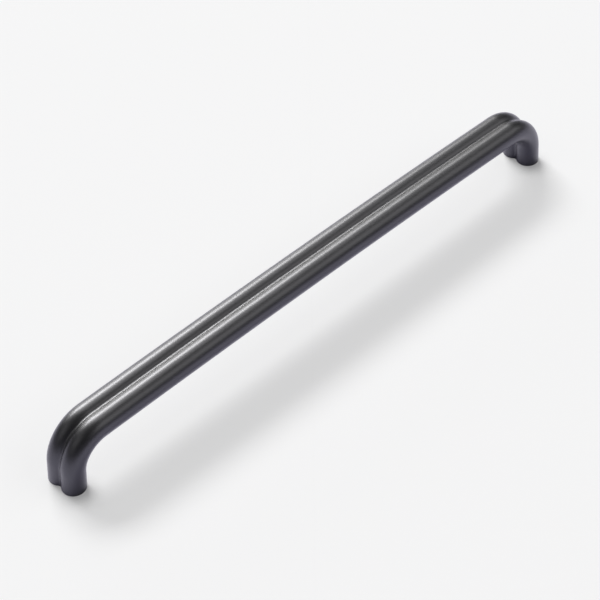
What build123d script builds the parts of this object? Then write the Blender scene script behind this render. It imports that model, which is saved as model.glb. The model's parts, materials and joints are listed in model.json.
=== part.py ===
from build123d import *
import math
import os

# Twin-bar cabinet pull, made in one piece: two round lobes lie side by side with a groove
# between them, and both ends bend down into legs that stand on flat, tapped feet.
# Millimetres. The door face is z = 0, +Z points away from the door, +X runs along the bar,
# and the origin lies on the door face midway between the two screw holes.

# Bar and legs
hole_spacing = 320.0  # between the two screw holes
projection = 35.0  # from the door face to the top of the bar at mid-span
lobe_diameter = 12.0
lobe_pitch = 9.3  # between the centres of the two lobes
groove_radius = 1.6  # of the hollow that joins the lobes, on both sides of the bar
bend_radius = 18.0  # of the centre line, from bar to leg
leg_splay = 4.0  # degrees that each leg leans outwards, towards its foot
bar_crown = 1.8  # rise of the bar's gentle arch, over the hole spacing
foot_edge_radius = 0.5  # softened rim of each foot

# Tapped hole in each foot, for an M4 machine screw that comes through the door
tap_drill_diameter = 3.3
hole_depth = 11.0  # of the full bore, from the foot to the drill point
drill_point_angle = 118.0
countersink_diameter = 4.4
countersink_angle = 90.0

lobe_radius = lobe_diameter / 2
half_spacing = hole_spacing / 2
bar_height = projection - lobe_radius  # of the centre line at mid-span
crown_radius = (half_spacing**2 + bar_crown**2) / (2 * bar_crown)


def bar_section():
    """Two overlapping circles, with the sharp groove between them rounded out."""
    far_lobe = Pos(lobe_pitch / 2, 0) * Circle(lobe_radius).rotate(Axis.Z, 180)
    near_lobe = Pos(-lobe_pitch / 2, 0) * Circle(lobe_radius)
    lobes = far_lobe + near_lobe
    return fillet(lobes.vertices(), groove_radius)


def bar_centre_line():
    """Leg, bend, arched bar, bend and leg, drawn in XY and stood up in XZ.

    Each leg starts one lobe diameter below the door face, so that the door face cuts a whole
    section even though the leg leans.
    """
    crown_centre = (0, bar_height - crown_radius)
    crown_circle = CenterArc(crown_centre, crown_radius, 0, 180)
    leg_direction = Vector(0, 1).rotate(Axis.Z, -leg_splay)
    leg_start = Vector(-half_spacing, 0) - leg_direction * lobe_diameter
    left_leg = IntersectingLine(leg_start, leg_direction, crown_circle)
    right_leg = left_leg.mirror(Plane.YZ)
    bar = ThreePointArc(left_leg @ 1, (0, bar_height), right_leg @ 1)
    sharp = Wire([left_leg, bar, right_leg])
    corners = sharp.vertices().sort_by(Axis.Y)[-2:]
    return Plane.XZ * sharp.fillet_2d(bend_radius, corners)


def screw_hole():
    """Blind tapping bore with a countersunk mouth at z = 0 and a drill point at its end."""
    bore_radius = tap_drill_diameter / 2
    mouth_radius = countersink_diameter / 2
    mouth_depth = (mouth_radius - bore_radius) / math.tan(math.radians(countersink_angle / 2))
    point_depth = bore_radius / math.tan(math.radians(drill_point_angle / 2))
    outline = Polyline(
        (0, 0),
        (mouth_radius, 0),
        (bore_radius, mouth_depth),
        (bore_radius, hole_depth),
        (0, hole_depth + point_depth),
        close=True,
    )
    return revolve(Plane.XZ * make_face(outline), Axis.Z)


def pull_body():
    """The bent twin bar, cut off flat at the door face, with softened feet and two tapped holes."""
    centre_line = bar_centre_line()
    start_plane = Plane(centre_line @ 0, x_dir=(0, 1, 0), z_dir=centre_line % 0)
    bent_bar = sweep(start_plane * bar_section(), path=centre_line)
    body = split(bent_bar, bisect_by=Plane.XY, keep=Keep.TOP)
    foot_rims = body.faces().group_by(Axis.Z)[0].edges()
    body = fillet(foot_rims, foot_edge_radius)
    hole_places = Locations((-half_spacing, 0, 0), (half_spacing, 0, 0))
    return body - [place * screw_hole() for place in hole_places]


os.makedirs("parts", exist_ok=True)
export_step(pull_body(), "parts/pull_body.step")
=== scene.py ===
import json
import math

import bpy
from mathutils import Euler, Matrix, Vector


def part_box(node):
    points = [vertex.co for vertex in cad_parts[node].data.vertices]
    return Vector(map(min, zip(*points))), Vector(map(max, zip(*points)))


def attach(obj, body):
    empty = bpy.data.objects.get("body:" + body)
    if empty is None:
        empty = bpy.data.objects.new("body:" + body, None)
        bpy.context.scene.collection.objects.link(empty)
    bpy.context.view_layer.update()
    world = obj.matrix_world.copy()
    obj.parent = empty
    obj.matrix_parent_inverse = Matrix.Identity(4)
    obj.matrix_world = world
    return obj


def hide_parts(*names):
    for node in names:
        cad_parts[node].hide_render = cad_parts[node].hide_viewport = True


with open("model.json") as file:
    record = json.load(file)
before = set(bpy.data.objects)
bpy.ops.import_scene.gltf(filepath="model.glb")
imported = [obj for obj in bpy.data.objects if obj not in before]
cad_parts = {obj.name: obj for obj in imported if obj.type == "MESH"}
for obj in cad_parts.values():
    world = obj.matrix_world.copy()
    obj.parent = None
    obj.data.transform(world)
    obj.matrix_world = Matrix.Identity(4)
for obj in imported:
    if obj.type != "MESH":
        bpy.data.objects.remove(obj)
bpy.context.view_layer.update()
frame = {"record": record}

# The pull: one piece of metal, two round rods side by side that run into each other, with a rounded
# groove above and below. Both ends bend down into legs, are cut flat to stand on the door, and are
# drilled and tapped for the screws. A satin graphite finish covers all but the threads.
mounts = {mount["name"]: mount for mount in frame["record"]["mounts"]}
hole_spacing = mounts["screw_pair"]["dims"]["spacing_x_mm"] / 1000
bore_radius = mounts["screw_pair"]["dims"]["hole_r_mm"] / 1000
low_corner, high_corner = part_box("pull_body")
projection = high_corner.z
bar_width = high_corner.y - low_corner.y

rod_radius = 0.006
groove_radius = 0.0016
bend_radius = 0.018
leg_lean = math.radians(4)  # each leg leans outwards, towards its foot
bar_crown = 0.0018  # rise of the bar's gentle arch, over the hole spacing
foot_edge_radius = 0.0005


def arc_points(centre, radius, start, end, steps):
    """Points along an arc, without its last one, which the next stretch begins with."""
    angles = [start + (end - start) * step / steps for step in range(steps)]
    return [(centre[0] + radius * math.cos(a), centre[1] + radius * math.sin(a)) for a in angles]


def drawn_curve(name, points, closed=False):
    """A curve of straight runs through points in space, as an object that a node tree can read."""
    curve = bpy.data.curves.new(name, "CURVE")
    curve.dimensions = "3D"
    spline = curve.splines.new("POLY")
    spline.points.add(len(points) - 1)
    for spline_point, point in zip(spline.points, points):
        spline_point.co = (*point, 1)
    spline.use_cyclic_u = closed
    curve_object = bpy.data.objects.new(name, curve)
    bpy.context.scene.collection.objects.link(curve_object)
    return curve_object


# The section: an arc of each rod, and between them the arc of each groove, tangent to both.
rod_steps = 60
groove_steps = 12
rod_offset = bar_width / 2 - rod_radius  # of a rod's centre from the middle of the bar
groove_offset = math.sqrt((rod_radius + groove_radius) ** 2 - rod_offset**2)
groove_start = math.atan2(groove_offset, rod_offset)
groove_end = math.pi - groove_start
section_outline = [
    *arc_points((rod_offset, 0), rod_radius, -groove_end, groove_end, rod_steps),
    *arc_points((0, groove_offset), groove_radius, -groove_start, -groove_end, groove_steps),
    *arc_points((-rod_offset, 0), rod_radius, groove_start, math.tau - groove_start, rod_steps),
    *arc_points((0, -groove_offset), groove_radius, groove_end, groove_start, groove_steps),
]
bar_section = drawn_curve("bar_section", [(y, z, 0) for y, z in section_outline], closed=True)

# The centre line of one half, from mid-span: the arched bar, the bend and the straight leg. The
# bend's centre lies a bend radius inside both the arch and the leg's line.
arch_steps = 16
bend_steps = 52
leg_steps = 6
half_spacing = hole_spacing / 2
arch_radius = (half_spacing**2 + bar_crown**2) / (2 * bar_crown)
arch_centre = Vector((0, projection - rod_radius - arch_radius))
leg_upwards = Vector((-math.sin(leg_lean), math.cos(leg_lean)))
leg_inwards = Vector((-math.cos(leg_lean), -math.sin(leg_lean)))
foot = Vector((half_spacing, 0))
from_arch = foot + leg_inwards * bend_radius - arch_centre
along_leg = from_arch.dot(leg_upwards)
shortfall = (arch_radius - bend_radius) ** 2 - from_arch.length_squared
leg_length = math.sqrt(along_leg**2 + shortfall) - along_leg
bend_centre = foot + leg_upwards * leg_length + leg_inwards * bend_radius
bend_direction = bend_centre - arch_centre
arch_end = math.atan2(bend_direction.y, bend_direction.x)
leg_top = foot + leg_upwards * leg_length
rim_top = foot + leg_upwards * (foot_edge_radius / math.cos(leg_lean))
half_line = [
    *arc_points(arch_centre, arch_radius, math.pi / 2, arch_end, arch_steps),
    *arc_points(bend_centre, bend_radius, arch_end, leg_lean, bend_steps),
    *[leg_top.lerp(rim_top, step / leg_steps) for step in range(leg_steps + 1)],
]
centre_line = [(-x, 0, z) for x, z in reversed(half_line[1:])] + [(x, 0, z) for x, z in half_line]
bar_path = drawn_curve("bar_path", centre_line)


def add_node(tree, kind, inputs=None, **settings):
    """A node with its settings, and each input either linked from a socket or given a value."""
    node = tree.nodes.new(kind)
    for name, value in settings.items():
        setattr(node, name, value)
    for key, value in (inputs or {}).items():
        if isinstance(value, bpy.types.NodeSocket):
            tree.links.new(value, node.inputs[key])
        else:
            node.inputs[key].default_value = value
    return node


def new_tree(name, kind, inputs, outputs):
    """An empty node tree with named sockets, and the sockets that its inputs come from."""
    tree = bpy.data.node_groups.new(name, kind)
    for socket_name, socket_kind in inputs.items():
        tree.interface.new_socket(socket_name, in_out="INPUT", socket_type=socket_kind)
    for socket_name, socket_kind in outputs.items():
        tree.interface.new_socket(socket_name, in_out="OUTPUT", socket_type=socket_kind)
    return tree, tree.nodes.new("NodeGroupInput").outputs


def calculate(tree, operation, first, second=0.0, third=0.0):
    """One step of arithmetic on fields."""
    terms = {0: first, 1: second, 2: third}
    return add_node(tree, "ShaderNodeMath", terms, operation=operation).outputs[0]


# A tapped hole: a countersunk mouth, a bore with a screw thread cut into its wall, and the cone
# that the drill left at its end. It stands on the origin and goes up, and its faces look inwards.
mouth_radius = 0.0022
hole_depth = 0.011  # up to the drill's cone
drill_point_angle = math.radians(118)
thread_pitch = 0.0007  # of an M4 screw
thread_depth = 0.00035
hole_columns = 40
hole_rows = 120
hole_tree, hole_input = new_tree(
    "tapped_hole",
    "GeometryNodeTree",
    {
        "Bore Radius": "NodeSocketFloat",
        "Mouth Radius": "NodeSocketFloat",
        "Depth": "NodeSocketFloat",
        "Point Depth": "NodeSocketFloat",
        "Thread Pitch": "NodeSocketFloat",
        "Thread Depth": "NodeSocketFloat",
        "Columns": "NodeSocketInt",
        "Rows": "NodeSocketInt",
    },
    {"Hole": "NodeSocketGeometry"},
)
# The mouth is a cone at 45 degrees, so it is as deep as it is wider than the bore.
mouth_depth = calculate(hole_tree, "SUBTRACT", hole_input["Mouth Radius"], hole_input["Bore Radius"])
mouth = add_node(
    hole_tree,
    "GeometryNodeMeshCone",
    {
        "Vertices": hole_input["Columns"],
        "Radius Top": hole_input["Bore Radius"],
        "Radius Bottom": hole_input["Mouth Radius"],
        "Depth": mouth_depth,
    },
    fill_type="NONE",
)
wall_height = calculate(hole_tree, "SUBTRACT", hole_input["Depth"], mouth_depth)
wall = add_node(
    hole_tree,
    "GeometryNodeMeshCylinder",
    {
        "Vertices": hole_input["Columns"],
        "Side Segments": hole_input["Rows"],
        "Radius": hole_input["Bore Radius"],
        "Depth": wall_height,
    },
    fill_type="NONE",
)
# The thread winds up the wall once per pitch, and runs out towards both ends.
wall_point = add_node(
    hole_tree,
    "ShaderNodeSeparateXYZ",
    {0: add_node(hole_tree, "GeometryNodeInputPosition").outputs[0]},
).outputs
wall_angle = calculate(hole_tree, "ARCTAN2", wall_point["Y"], wall_point["X"])
turn_share = calculate(hole_tree, "DIVIDE", wall_angle, math.tau)
height_in_turns = calculate(hole_tree, "DIVIDE", wall_point["Z"], hole_input["Thread Pitch"])
thread_phase = calculate(hole_tree, "SUBTRACT", height_in_turns, turn_share)
half_wave = calculate(hole_tree, "PINGPONG", thread_phase, 0.5)  # up to a half and back, each turn
thread_wave = calculate(hole_tree, "MULTIPLY", half_wave, 2.0)
to_wall_end = calculate(
    hole_tree,
    "SUBTRACT",
    calculate(hole_tree, "MULTIPLY", wall_height, 0.5),
    calculate(hole_tree, "ABSOLUTE", wall_point["Z"]),
)
run_out = add_node(
    hole_tree,
    "ShaderNodeMapRange",
    {"Value": to_wall_end, "From Max": hole_input["Thread Pitch"]},
    interpolation_type="SMOOTHSTEP",
).outputs[0]
thread_share = calculate(hole_tree, "MULTIPLY", thread_wave, run_out)
cut_depth = calculate(hole_tree, "MULTIPLY", thread_share, hole_input["Thread Depth"])
from_axis = add_node(
    hole_tree, "ShaderNodeCombineXYZ", {0: wall_point["X"], 1: wall_point["Y"]}
).outputs[0]
outwards = add_node(
    hole_tree, "ShaderNodeVectorMath", {0: from_axis}, operation="NORMALIZE"
).outputs[0]
thread_cut = add_node(
    hole_tree, "ShaderNodeVectorMath", {0: outwards, "Scale": cut_depth}, operation="SCALE"
).outputs[0]
threaded_wall = add_node(
    hole_tree, "GeometryNodeSetPosition", {"Geometry": wall.outputs["Mesh"], "Offset": thread_cut}
)
wall_middle = calculate(
    hole_tree, "ADD", mouth_depth, calculate(hole_tree, "MULTIPLY", wall_height, 0.5)
)
raised_wall = add_node(
    hole_tree,
    "GeometryNodeTransform",
    {
        "Geometry": threaded_wall.outputs[0],
        "Translation": add_node(hole_tree, "ShaderNodeCombineXYZ", {2: wall_middle}).outputs[0],
    },
)
drill_point = add_node(
    hole_tree,
    "GeometryNodeMeshCone",
    {
        "Vertices": hole_input["Columns"],
        "Radius Top": 0.0,
        "Radius Bottom": hole_input["Bore Radius"],
        "Depth": hole_input["Point Depth"],
    },
    fill_type="NONE",
)
raised_point = add_node(
    hole_tree,
    "GeometryNodeTransform",
    {
        "Geometry": drill_point.outputs["Mesh"],
        "Translation": add_node(
            hole_tree, "ShaderNodeCombineXYZ", {2: hole_input["Depth"]}
        ).outputs[0],
    },
)
hole_parts = add_node(hole_tree, "GeometryNodeJoinGeometry")
for part in (mouth.outputs["Mesh"], raised_wall.outputs[0], raised_point.outputs[0]):
    hole_tree.links.new(part, hole_parts.inputs[0])
inside_out = add_node(hole_tree, "GeometryNodeFlipFaces", {"Mesh": hole_parts.outputs[0]})
add_node(hole_tree, "NodeGroupOutput", {0: inside_out.outputs[0]})

# The pull itself: the section swept along the centre line, its ends cut flat, their rims rounded,
# and the soles closed around the tapped holes.
pull_tree, pull_input = new_tree(
    "bent_twin_bar",
    "GeometryNodeTree",
    {
        "Path": "NodeSocketObject",
        "Section": "NodeSocketObject",
        "Hole Spacing": "NodeSocketFloat",
        "Leg Length": "NodeSocketFloat",
        "Leg Lean": "NodeSocketFloat",
        "Foot Edge Radius": "NodeSocketFloat",
        "Bore Radius": "NodeSocketFloat",
        "Mouth Radius": "NodeSocketFloat",
        "Hole Depth": "NodeSocketFloat",
        "Point Depth": "NodeSocketFloat",
        "Thread Pitch": "NodeSocketFloat",
        "Thread Depth": "NodeSocketFloat",
        "Hole Columns": "NodeSocketInt",
        "Hole Rows": "NodeSocketInt",
        "Finish": "NodeSocketMaterial",
        "Bare Metal": "NodeSocketMaterial",
    },
    {"Pull": "NodeSocketGeometry"},
)
path_curve = add_node(pull_tree, "GeometryNodeObjectInfo", {"Object": pull_input["Path"]})
level_path = add_node(
    pull_tree, "GeometryNodeSetCurveNormal", {"Curve": path_curve.outputs["Geometry"]}, mode="Z_UP"
)
section_curve = add_node(pull_tree, "GeometryNodeObjectInfo", {"Object": pull_input["Section"]})
swept_bar = add_node(
    pull_tree,
    "GeometryNodeCurveToMesh",
    {"Curve": level_path.outputs[0], "Profile Curve": section_curve.outputs["Geometry"]},
)
# A leaning leg's end would be cut askew, so each leg's points slide along it, more and more
# towards the foot, until the last ring lies level.
place = add_node(pull_tree, "GeometryNodeInputPosition").outputs[0]
place_parts = add_node(pull_tree, "ShaderNodeSeparateXYZ", {0: place}).outputs
lean_sine = calculate(pull_tree, "SINE", pull_input["Leg Lean"])
lean_cosine = calculate(pull_tree, "COSINE", pull_input["Leg Lean"])
end_sign = calculate(pull_tree, "SIGN", place_parts["X"])
past_foot = calculate(
    pull_tree,
    "SUBTRACT",
    calculate(pull_tree, "ABSOLUTE", place_parts["X"]),
    calculate(pull_tree, "MULTIPLY", pull_input["Hole Spacing"], 0.5),
)
up_the_leg = calculate(
    pull_tree,
    "SUBTRACT",
    calculate(pull_tree, "MULTIPLY", place_parts["Z"], lean_cosine),
    calculate(pull_tree, "MULTIPLY", past_foot, lean_sine),
)
off_the_leg = calculate(
    pull_tree,
    "ADD",
    calculate(pull_tree, "MULTIPLY", past_foot, lean_cosine),
    calculate(pull_tree, "MULTIPLY", place_parts["Z"], lean_sine),
)
rim_height = calculate(pull_tree, "DIVIDE", pull_input["Foot Edge Radius"], lean_cosine)
slide_share = add_node(
    pull_tree,
    "ShaderNodeMapRange",
    {
        "Value": up_the_leg,
        "From Min": pull_input["Leg Length"],
        "From Max": rim_height,
        "To Min": 0.0,
        "To Max": 1.0,
    },
).outputs[0]
lean_slope = calculate(pull_tree, "TANGENT", pull_input["Leg Lean"])
slide = calculate(
    pull_tree, "MULTIPLY", calculate(pull_tree, "MULTIPLY", off_the_leg, lean_slope), slide_share
)
slide_outwards = calculate(
    pull_tree, "MULTIPLY", calculate(pull_tree, "MULTIPLY", slide, lean_sine), end_sign
)
slide_down = calculate(
    pull_tree, "MULTIPLY", calculate(pull_tree, "MULTIPLY", slide, lean_cosine), -1.0
)
level_ends = add_node(
    pull_tree,
    "GeometryNodeSetPosition",
    {
        "Geometry": swept_bar.outputs[0],
        "Offset": add_node(
            pull_tree, "ShaderNodeCombineXYZ", {0: slide_outwards, 2: slide_down}
        ).outputs[0],
    },
)
# The rim of each foot rolls in over a quarter circle, one row of faces after another. The last
# row lies in the sole, so that the sole shades flat.
rim_steps = 6
sole_margin = 0.0004
rim_angles = [math.pi / 2 * step / rim_steps for step in range(rim_steps + 1)]
rim_profile = [
    (foot_edge_radius * (1 - math.cos(angle)), foot_edge_radius * math.sin(angle))
    for angle in rim_angles
]
rim_profile.append((foot_edge_radius + sole_margin, foot_edge_radius))
remember_normal = add_node(pull_tree, "GeometryNodeCaptureAttribute", {0: level_ends.outputs[0]})
remember_normal.capture_items.new("VECTOR", "Side Normal")
side_normal = add_node(pull_tree, "GeometryNodeInputNormal").outputs[0]
pull_tree.links.new(side_normal, remember_normal.inputs[1])
flattened_normal = add_node(
    pull_tree,
    "ShaderNodeVectorMath",
    {0: remember_normal.outputs[1], 1: (1, 1, 0)},
    operation="MULTIPLY",
).outputs[0]
level_normal = add_node(
    pull_tree, "ShaderNodeVectorMath", {0: flattened_normal}, operation="NORMALIZE"
).outputs[0]
face_count = add_node(pull_tree, "GeometryNodeInputMeshEdgeNeighbors").outputs[0]
open_edge = add_node(
    pull_tree,
    "FunctionNodeCompare",
    {2: face_count, 3: 1},  # the node's two whole numbers
    data_type="INT",
    operation="EQUAL",
).outputs[0]
rimmed = remember_normal.outputs[0]
for (last_inset, last_drop), (inset, drop) in zip(rim_profile, rim_profile[1:]):
    next_row = add_node(
        pull_tree,
        "GeometryNodeExtrudeMesh",
        {"Mesh": rimmed, "Selection": open_edge, "Offset Scale": 0.0},
        mode="EDGES",
    )
    move_in = add_node(
        pull_tree,
        "ShaderNodeVectorMath",
        {0: level_normal, 1: (last_inset - inset,) * 3, 2: (0, 0, last_drop - drop)},
        operation="MULTIPLY_ADD",
    ).outputs[0]
    open_edge = next_row.outputs["Top"]
    rimmed = add_node(
        pull_tree,
        "GeometryNodeSetPosition",
        {"Geometry": next_row.outputs["Mesh"], "Selection": open_edge, "Offset": move_in},
    ).outputs[0]
# One screw hole in the middle of each foot.
first_hole = add_node(
    pull_tree,
    "ShaderNodeCombineXYZ",
    {0: calculate(pull_tree, "MULTIPLY", pull_input["Hole Spacing"], -0.5)},
).outputs[0]
hole_step = add_node(pull_tree, "ShaderNodeCombineXYZ", {0: pull_input["Hole Spacing"]}).outputs[0]
hole_places = add_node(
    pull_tree,
    "GeometryNodeMeshLine",
    {"Count": 2, "Start Location": first_hole, "Offset": hole_step},
    mode="OFFSET",
).outputs[0]
hole = add_node(
    pull_tree,
    "GeometryNodeGroup",
    {
        "Bore Radius": pull_input["Bore Radius"],
        "Mouth Radius": pull_input["Mouth Radius"],
        "Depth": pull_input["Hole Depth"],
        "Point Depth": pull_input["Point Depth"],
        "Thread Pitch": pull_input["Thread Pitch"],
        "Thread Depth": pull_input["Thread Depth"],
        "Columns": pull_input["Hole Columns"],
        "Rows": pull_input["Hole Rows"],
    },
    node_tree=hole_tree,
)
holes = add_node(
    pull_tree, "GeometryNodeInstanceOnPoints", {"Points": hole_places, "Instance": hole.outputs[0]}
).outputs[0]
mouth_circle = add_node(
    pull_tree,
    "GeometryNodeCurvePrimitiveCircle",
    {"Resolution": pull_input["Hole Columns"], "Radius": pull_input["Mouth Radius"]},
).outputs[0]
mouth_circles = add_node(
    pull_tree, "GeometryNodeInstanceOnPoints", {"Points": hole_places, "Instance": mouth_circle}
).outputs[0]
# Each sole is flat, from the rim's last row to the mouth of the hole.
sole_outlines = add_node(
    pull_tree, "GeometryNodeMeshToCurve", {"Mesh": rimmed, "Selection": open_edge}
).outputs[0]
mouth_outlines = add_node(pull_tree, "GeometryNodeRealizeInstances", {0: mouth_circles}).outputs[0]
sole_lines = add_node(pull_tree, "GeometryNodeJoinGeometry")
for outlines in (sole_outlines, mouth_outlines):
    pull_tree.links.new(outlines, sole_lines.inputs[0])
upward_soles = add_node(pull_tree, "GeometryNodeFillCurve", {0: sole_lines.outputs[0]}).outputs[0]
soles = add_node(pull_tree, "GeometryNodeFlipFaces", {"Mesh": upward_soles}).outputs[0]
# All of it becomes one closed skin, smooth but for the edges of the holes.
weld_distance = 0.000002
sharp_angle = math.radians(35)
coated_parts = add_node(pull_tree, "GeometryNodeJoinGeometry")
for part in (rimmed, soles):
    pull_tree.links.new(part, coated_parts.inputs[0])
coated = add_node(
    pull_tree,
    "GeometryNodeSetMaterial",
    {"Geometry": coated_parts.outputs[0], "Material": pull_input["Finish"]},
).outputs[0]
cut_holes = add_node(pull_tree, "GeometryNodeRealizeInstances", {0: holes}).outputs[0]
threads = add_node(
    pull_tree,
    "GeometryNodeSetMaterial",
    {"Geometry": cut_holes, "Material": pull_input["Bare Metal"]},
).outputs[0]
whole = add_node(pull_tree, "GeometryNodeJoinGeometry")
for part in (coated, threads):
    pull_tree.links.new(part, whole.inputs[0])
welded = add_node(
    pull_tree, "GeometryNodeMergeByDistance", {"Geometry": whole.outputs[0], "Distance": weld_distance}
).outputs[0]
smooth = add_node(
    pull_tree, "GeometryNodeSetShadeSmooth", {"Geometry": welded}, domain="FACE"
).outputs[0]
edge_angle = add_node(pull_tree, "GeometryNodeInputMeshEdgeAngle").outputs[0]
creased = add_node(
    pull_tree,
    "GeometryNodeSetShadeSmooth",
    {
        "Geometry": smooth,
        "Selection": calculate(pull_tree, "GREATER_THAN", edge_angle, sharp_angle),
        "Shade Smooth": False,
    },
    domain="EDGE",
).outputs[0]
add_node(pull_tree, "NodeGroupOutput", {0: creased})

# The finish: dark graphite under a satin coat, with a grain too fine to see from a step away and a
# tone that drifts a little along the bar. The threads are cut after it and show the bare metal.
grain_tree, grain_input = new_tree(
    "satin_grain",
    "ShaderNodeTree",
    {"Grain Scale": "NodeSocketFloat", "Drift Scale": "NodeSocketFloat"},
    {"Grain": "NodeSocketFloat", "Drift": "NodeSocketFloat"},
)
grain_place = add_node(grain_tree, "ShaderNodeTexCoord").outputs["Object"]
grain_noise = add_node(
    grain_tree,
    "ShaderNodeTexNoise",
    {"Vector": grain_place, "Scale": grain_input["Grain Scale"], "Detail": 2.0, "Roughness": 0.6},
)
drift_noise = add_node(
    grain_tree,
    "ShaderNodeTexNoise",
    {"Vector": grain_place, "Scale": grain_input["Drift Scale"], "Detail": 1.0},
)
add_node(grain_tree, "NodeGroupOutput", {0: grain_noise.outputs[0], 1: drift_noise.outputs[0]})


def satin_metal(name, dark, light, roughness, grain_scale, bump_strength):
    """A metal between two tones, with its grain in colour, roughness and relief."""
    material = bpy.data.materials.new(name)
    material.use_nodes = True
    tree = material.node_tree
    shader = tree.nodes["Principled BSDF"]
    shader.inputs["Metallic"].default_value = 1.0
    drift_scale = 35.0
    grain_share = 0.3  # of the tone, and the rest is drift
    grain_height = 0.00003
    grain = add_node(
        tree,
        "ShaderNodeGroup",
        {"Grain Scale": grain_scale, "Drift Scale": drift_scale},
        node_tree=grain_tree,
    )
    tone = calculate(tree, "MULTIPLY", grain.outputs["Grain"], grain_share)
    tone = calculate(tree, "MULTIPLY_ADD", grain.outputs["Drift"], 1 - grain_share, tone)
    colour = add_node(
        tree,
        "ShaderNodeMix",
        {"Factor": tone, 6: (*dark, 1), 7: (*light, 1)},  # the node's two colours
        data_type="RGBA",
    ).outputs[2]
    tree.links.new(colour, shader.inputs["Base Color"])
    rough = add_node(
        tree,
        "ShaderNodeMapRange",
        {"Value": grain.outputs["Grain"], "To Min": roughness[0], "To Max": roughness[1]},
    ).outputs[0]
    tree.links.new(rough, shader.inputs["Roughness"])
    bump = add_node(
        tree,
        "ShaderNodeBump",
        {"Height": grain.outputs["Grain"], "Strength": bump_strength, "Distance": grain_height},
    ).outputs[0]
    tree.links.new(bump, shader.inputs["Normal"])
    return material


graphite = satin_metal(
    "satin_graphite",
    dark=(0.049, 0.0482, 0.0575),
    light=(0.063, 0.062, 0.074),
    roughness=(0.37, 0.41),
    grain_scale=12000.0,
    bump_strength=0.03,
)
graphite_shader = graphite.node_tree.nodes["Principled BSDF"]
graphite_shader.inputs["Coat Weight"].default_value = 0.85
graphite_shader.inputs["Coat Roughness"].default_value = 0.40
bare_metal = satin_metal(
    "bare_thread_metal",
    dark=(0.42, 0.42, 0.41),
    light=(0.58, 0.57, 0.55),
    roughness=(0.28, 0.42),
    grain_scale=3000.0,
    bump_strength=0.2,
)

pull = bpy.data.objects.new("pull", bpy.data.meshes.new("pull"))
bpy.context.scene.collection.objects.link(pull)
pull_sizes = {
    "Path": bar_path,
    "Section": bar_section,
    "Hole Spacing": hole_spacing,
    "Leg Length": leg_length,
    "Leg Lean": leg_lean,
    "Foot Edge Radius": foot_edge_radius,
    "Bore Radius": bore_radius,
    "Mouth Radius": mouth_radius,
    "Hole Depth": hole_depth,
    "Point Depth": bore_radius / math.tan(drill_point_angle / 2),
    "Thread Pitch": thread_pitch,
    "Thread Depth": thread_depth,
    "Hole Columns": hole_columns,
    "Hole Rows": hole_rows,
    "Finish": graphite,
    "Bare Metal": bare_metal,
}
sweep = pull.modifiers.new("bent_twin_bar", "NODES")
sweep.node_group = pull_tree
for socket in pull_tree.interface.items_tree:
    if socket.in_out == "INPUT":
        sweep[socket.identifier] = pull_sizes[socket.name]
evaluated_pull = pull.evaluated_get(bpy.context.evaluated_depsgraph_get())
pull_mesh = bpy.data.meshes.new_from_object(evaluated_pull)
pull.modifiers.clear()
pull.data = pull_mesh
pull_mesh.materials.pop(index=pull_mesh.materials[:].index(None))  # the empty slot of the joined parts
for drawn in (bar_path, bar_section):
    bpy.data.objects.remove(drawn)
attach(pull, "root")
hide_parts("pull_body")

# The floor: a plain pale sheet that the pull stands on. Part of its paleness is its own glow, so that
# the shadow on it stays light, and that glow fades only beside a foot, on the side away from the
# lamps, as a painted contact shadow. The satin metal mirrors it with painted deeper shadows and a
# painted violet cast.
floor_reach = 40.0
floor_mesh = bpy.data.meshes.new("floor")
floor_corners = [(x * floor_reach, y * floor_reach, 0) for x, y in ((-1, -1), (1, -1), (1, 1), (-1, 1))]
floor_mesh.from_pydata(floor_corners, [], [(0, 1, 2, 3)])
floor = bpy.data.objects.new("floor", floor_mesh)
bpy.context.scene.collection.objects.link(floor)
floor_material = bpy.data.materials.new("pale_floor")
floor_material.use_nodes = True
floor_tree = floor_material.node_tree
floor_tree.nodes.remove(floor_tree.nodes["Principled BSDF"])
rays = add_node(floor_tree, "ShaderNodeLightPath").outputs
mirrored = calculate(floor_tree, "MAXIMUM", rays["Is Glossy Ray"], rays["Is Transmission Ray"])
# How open the sheet is towards the lamps behind the pull, low over the floor: 1 in the open, and down
# to about a half where a foot stands close. It is the mask of the painted shadow beside the feet.
painted_foot_shadow_reach = 0.016
shade_mask_azimuth = math.radians(85)
shade_mask_elevation = math.radians(15)
shade_mask_direction = add_node(
    floor_tree,
    "ShaderNodeCombineXYZ",
    {
        0: math.cos(shade_mask_elevation) * math.cos(shade_mask_azimuth),
        1: math.cos(shade_mask_elevation) * math.sin(shade_mask_azimuth),
        2: math.sin(shade_mask_elevation),
    },
).outputs[0]
painted_shade_mask = add_node(
    floor_tree,
    "ShaderNodeAmbientOcclusion",
    {"Distance": painted_foot_shadow_reach, "Normal": shade_mask_direction},
).outputs["AO"]


def pale_sheet(rays_it_meets, lit_colour, own_colour, dark_openness, clear_openness, darkest_painted_shade):
    """The sheet as some rays find it: what the lamps light, and its own glow, darkened by a painted
    shadow near a foot.
    """
    lit_part = add_node(floor_tree, "ShaderNodeBsdfDiffuse", {"Color": (*lit_colour, 1)}).outputs[0]
    painted_shade_share = add_node(
        floor_tree,
        "ShaderNodeMapRange",
        {"Value": painted_shade_mask, "From Min": dark_openness, "From Max": clear_openness, "To Min": darkest_painted_shade},
    ).outputs[0]
    # The painted shadow: the sheet's own glow is dimmed where the mask finds a foot close by.
    strength = calculate(floor_tree, "MULTIPLY", painted_shade_share, rays_it_meets)
    own_part = add_node(
        floor_tree, "ShaderNodeEmission", {"Color": (*own_colour, 1), "Strength": strength}
    ).outputs[0]
    return add_node(floor_tree, "ShaderNodeAddShader", {0: lit_part, 1: own_part}).outputs[0]


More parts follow.
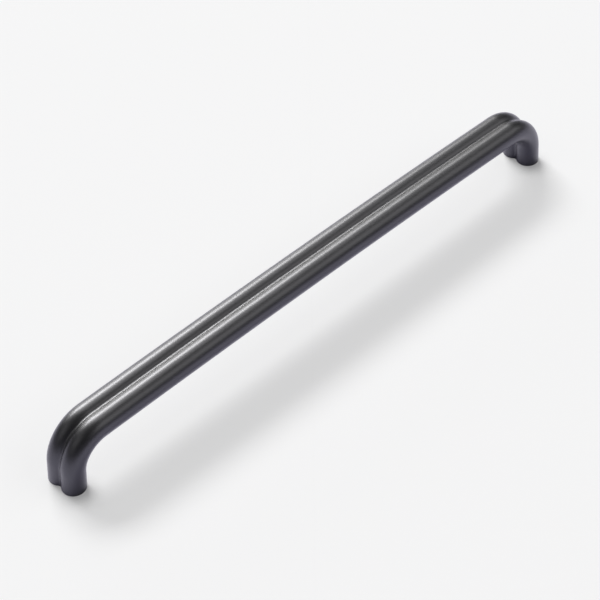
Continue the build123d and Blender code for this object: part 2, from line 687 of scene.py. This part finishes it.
# The lit colours are a little blue, to even out the warmth of the lamps.
seen_sheet = pale_sheet(
    rays["Is Camera Ray"],
    lit_colour=(0.385, 0.385, 0.415),
    own_colour=(0.495, 0.495, 0.495),
    dark_openness=0.58,
    clear_openness=0.81,
    darkest_painted_shade=0.45,
)
# The sheet that the metal mirrors is a painted reflection: less glow, a violet cast and deeper painted
# shade near a foot.
painted_reflection_sheet = pale_sheet(
    mirrored,
    lit_colour=(0.62, 0.62, 0.668),
    own_colour=(0.256, 0.238, 0.355),
    dark_openness=0.45,
    clear_openness=0.92,
    darkest_painted_shade=0.0,
)
floor_look = add_node(
    floor_tree, "ShaderNodeMixShader", {0: rays["Is Camera Ray"], 1: painted_reflection_sheet, 2: seen_sheet}
)
floor_tree.links.new(floor_look.outputs[0], floor_tree.nodes["Material Output"].inputs["Surface"])
floor_material.cycles.emission_sampling = "NONE"  # it is no lamp, which keeps the picture clean
floor_mesh.materials.append(floor_material)

# The light: a broad softbox behind the pull, a little to the right as seen from its front, with a
# low one beneath it, weaker ones overhead, to the left and in front, and hardly any light from the
# rest of the room.
lamp_distance = 20.0
lamp_white = (1.0, 1.0, 0.93)
room_grey = (0.08, 0.08, 0.08, 1)


def softbox(name, azimuth, elevation, width, height, irradiance):
    """A flat lamp that faces the pull, by the angles it is seen at and spans, and its light there."""
    lamp = bpy.data.lights.new(name, "AREA")
    lamp.shape = "RECTANGLE"
    lamp.size = 2 * lamp_distance * math.tan(math.radians(width / 2))
    lamp.size_y = 2 * lamp_distance * math.tan(math.radians(height / 2))
    lamp.energy = math.pi * lamp_distance**2 * irradiance
    lamp.color = lamp_white
    lamp_object = bpy.data.objects.new(name, lamp)
    tilt = math.radians(90 - elevation)
    lamp_turn = Euler((tilt, 0, math.radians(azimuth + 90))).to_matrix()
    lamp_object.matrix_world = lamp_turn.to_4x4()
    lamp_object.location = lamp_turn @ Vector((0, 0, lamp_distance))
    bpy.context.scene.collection.objects.link(lamp_object)


softbox("key_softbox", azimuth=70.0, elevation=40.2, width=33.4, height=13.5, irradiance=3.5)
softbox("low_softbox", azimuth=72.0, elevation=13.0, width=34.4, height=14.8, irradiance=0.42)
softbox("top_softbox", azimuth=40.0, elevation=66.0, width=37.6, height=20.4, irradiance=0.55)
softbox("side_softbox", azimuth=165.0, elevation=42.0, width=38.6, height=33.4, irradiance=0.2)
softbox("front_softbox", azimuth=-48.0, elevation=40.0, width=58.5, height=28.1, irradiance=0.76)
world = bpy.data.worlds.new("studio")
world.use_nodes = True
world.node_tree.nodes["Background"].inputs["Color"].default_value = room_grey
bpy.context.scene.world = world

# The camera: at the photograph's place, a step away with a long lens, looking down along the bar. Its
# angles, distance and shift come from the fit of the pull's outline in the photograph.
image_size = 600
focal_length_pixels = 2042.25
sensor_width = 36.0  # in millimetres, as the lens is
camera_data = bpy.data.cameras.new("camera")
camera_data.sensor_width = sensor_width
camera_data.lens = focal_length_pixels / image_size * sensor_width
camera = bpy.data.objects.new("camera", camera_data)
view_azimuth = math.radians(-43.957)
view_elevation = math.radians(43.985)
view_roll = math.radians(-1.784)
view_distance = 1.0047
view_shift = (-0.005465, -0.0115315)
aim_height = 0.02
level_turn = Euler((math.pi / 2 - view_elevation, 0, view_azimuth)).to_matrix()
turn = level_turn @ Euler((0, 0, view_roll)).to_matrix()
aim = Vector((0, 0, aim_height)) + turn @ Vector((*view_shift, 0))
camera.matrix_world = turn.to_4x4()
camera.location = aim + turn @ Vector((0, 0, view_distance))
bpy.context.scene.collection.objects.link(camera)
bpy.context.scene.camera = camera
bpy.context.scene.view_settings.view_transform = "Standard"
